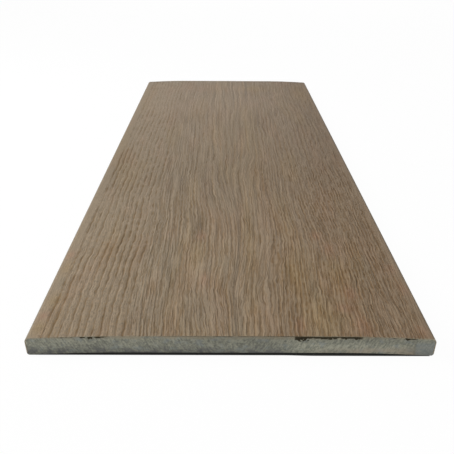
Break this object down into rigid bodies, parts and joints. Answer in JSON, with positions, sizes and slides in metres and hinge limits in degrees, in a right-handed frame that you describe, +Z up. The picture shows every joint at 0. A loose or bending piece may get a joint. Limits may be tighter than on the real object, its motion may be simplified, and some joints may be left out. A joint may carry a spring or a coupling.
{
  "type": "composite fascia board",
  "caption": "Capped composite fascia board, cut length, brown wood-grain face over a solid grey core, slightly cupped.",
  "frame": {"origin": "on the floor under the board's middle, halfway between the long edges and between the saw cuts", "axes": "+X across the board, +Y along the board away from the near saw cut, +Z up out of the embossed face"},
  "size_m": [0.289, 0.82, 0.0164],
  "materials": {
    "core_composite": "saw-cut grey wood-plastic composite, matte",
    "cap_polymer": "embossed wood grain, brown with darker grooves, matte"
  },
  "bodies": {
    "root": {"core": "core_composite", "cap": "cap_polymer"}
  },
  "joints": []
}
